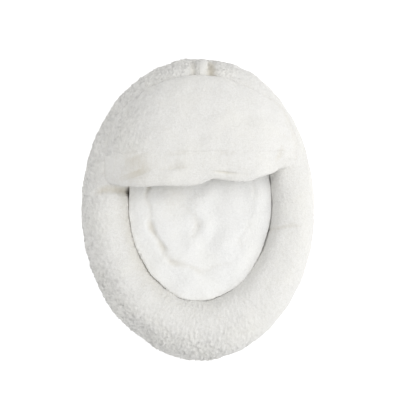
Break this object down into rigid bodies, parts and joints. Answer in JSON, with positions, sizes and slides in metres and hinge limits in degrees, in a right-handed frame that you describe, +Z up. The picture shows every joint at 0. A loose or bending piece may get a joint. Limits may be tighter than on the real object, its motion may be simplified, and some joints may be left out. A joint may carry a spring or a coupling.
{
  "type": "pet cushion bed",
  "caption": "Oval plush pet nest with a padded bolster all round, a low padded hood over its back half and a loose puffy oval cushion inside.",
  "frame": {"origin": "on the floor, below the middle of the bed's outline", "axes": "+Z up, -Y towards the open front, +X to the right of someone looking in from above with the hood at the top"},
  "size_m": [0.454, 0.6, 0.1987],
  "materials": {
    "plush_outer": "short dense white pile",
    "plush_inner": "short dense off-white pile",
    "plush_cushion": "short dense white pile",
    "bottom_fabric": "matt coated weave",
    "foam": "open-cell foam",
    "fibre_fill": "loose polyester fibre"
  },
  "bodies": {
    "nest": {"bottom_panel": "bottom_fabric", "base_pad": "foam", "floor_lining": "plush_inner", "bolster_outer_cover": "plush_outer", "bolster_inner_cover": "plush_inner", "bolster_filling": "fibre_fill", "back_gather": "plush_outer"},
    "hood": {"hood_outer_cover": "plush_outer", "hood_batting": "fibre_fill", "hood_lining": "plush_inner", "lip_cover": "plush_outer", "lip_filling": "fibre_fill"},
    "cushion": {"cushion_top_cover": "plush_cushion", "cushion_bottom_cover": "plush_cushion", "cushion_filling": "fibre_fill"}
  },
  "joints": [
    {"name": "hood_lift", "type": "hinge", "parent": "nest", "child": "hood", "pos_m": [0, 0.254, 0.1132], "axis": [-1, 0, 0], "range_deg": [0, 18]},
    {"name": "cushion_lift", "type": "hinge", "parent": "nest", "child": "cushion", "pos_m": [0, 0.198, 0.0304], "axis": [-1, 0, 0], "range_deg": [0, 15]}
  ]
}
